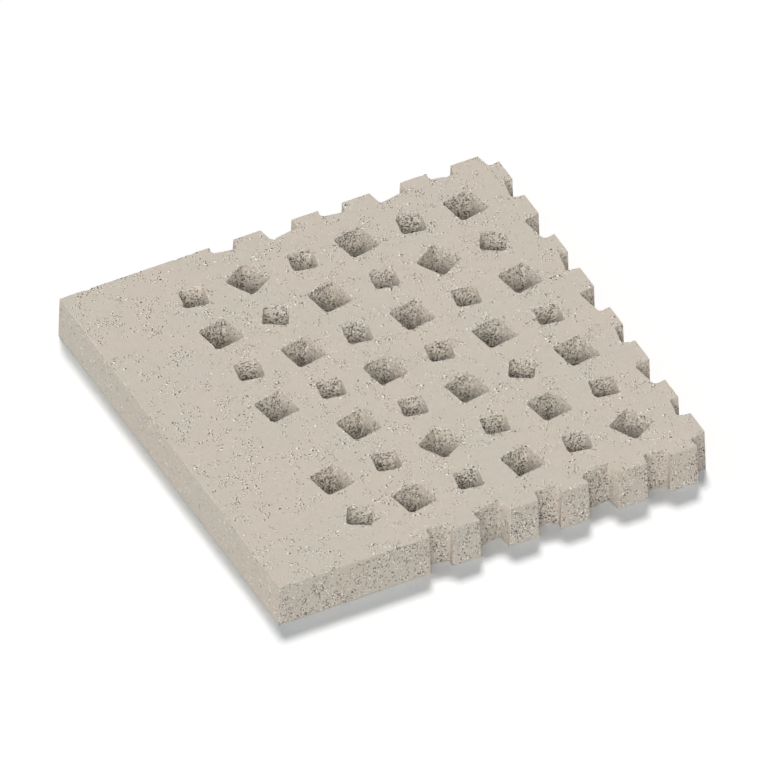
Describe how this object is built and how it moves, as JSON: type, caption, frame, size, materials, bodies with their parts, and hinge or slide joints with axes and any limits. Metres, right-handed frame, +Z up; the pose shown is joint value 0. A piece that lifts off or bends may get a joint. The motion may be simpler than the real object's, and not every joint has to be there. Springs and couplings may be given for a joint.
{
  "type": "concrete paving slab",
  "caption": "Square open-jointed concrete slab for grass or gravel paving: turned square holes in two sizes, notched edges on three sides and a plain band along the fourth.",
  "frame": {"origin": "middle of the underside, on the hole in the middle of the grid", "axes": "+Z up from the bed to the walking face; the plain band runs along the -X side; the notched edges face +X, +Y and -Y"},
  "size_m": [0.5994, 0.5994, 0.06],
  "materials": {
    "concrete": "pale sand-beige fair-faced concrete, matt, with small pores and fine dark and light grains"
  },
  "bodies": {
    "root": {"slab": "concrete"}
  },
  "joints": []
}
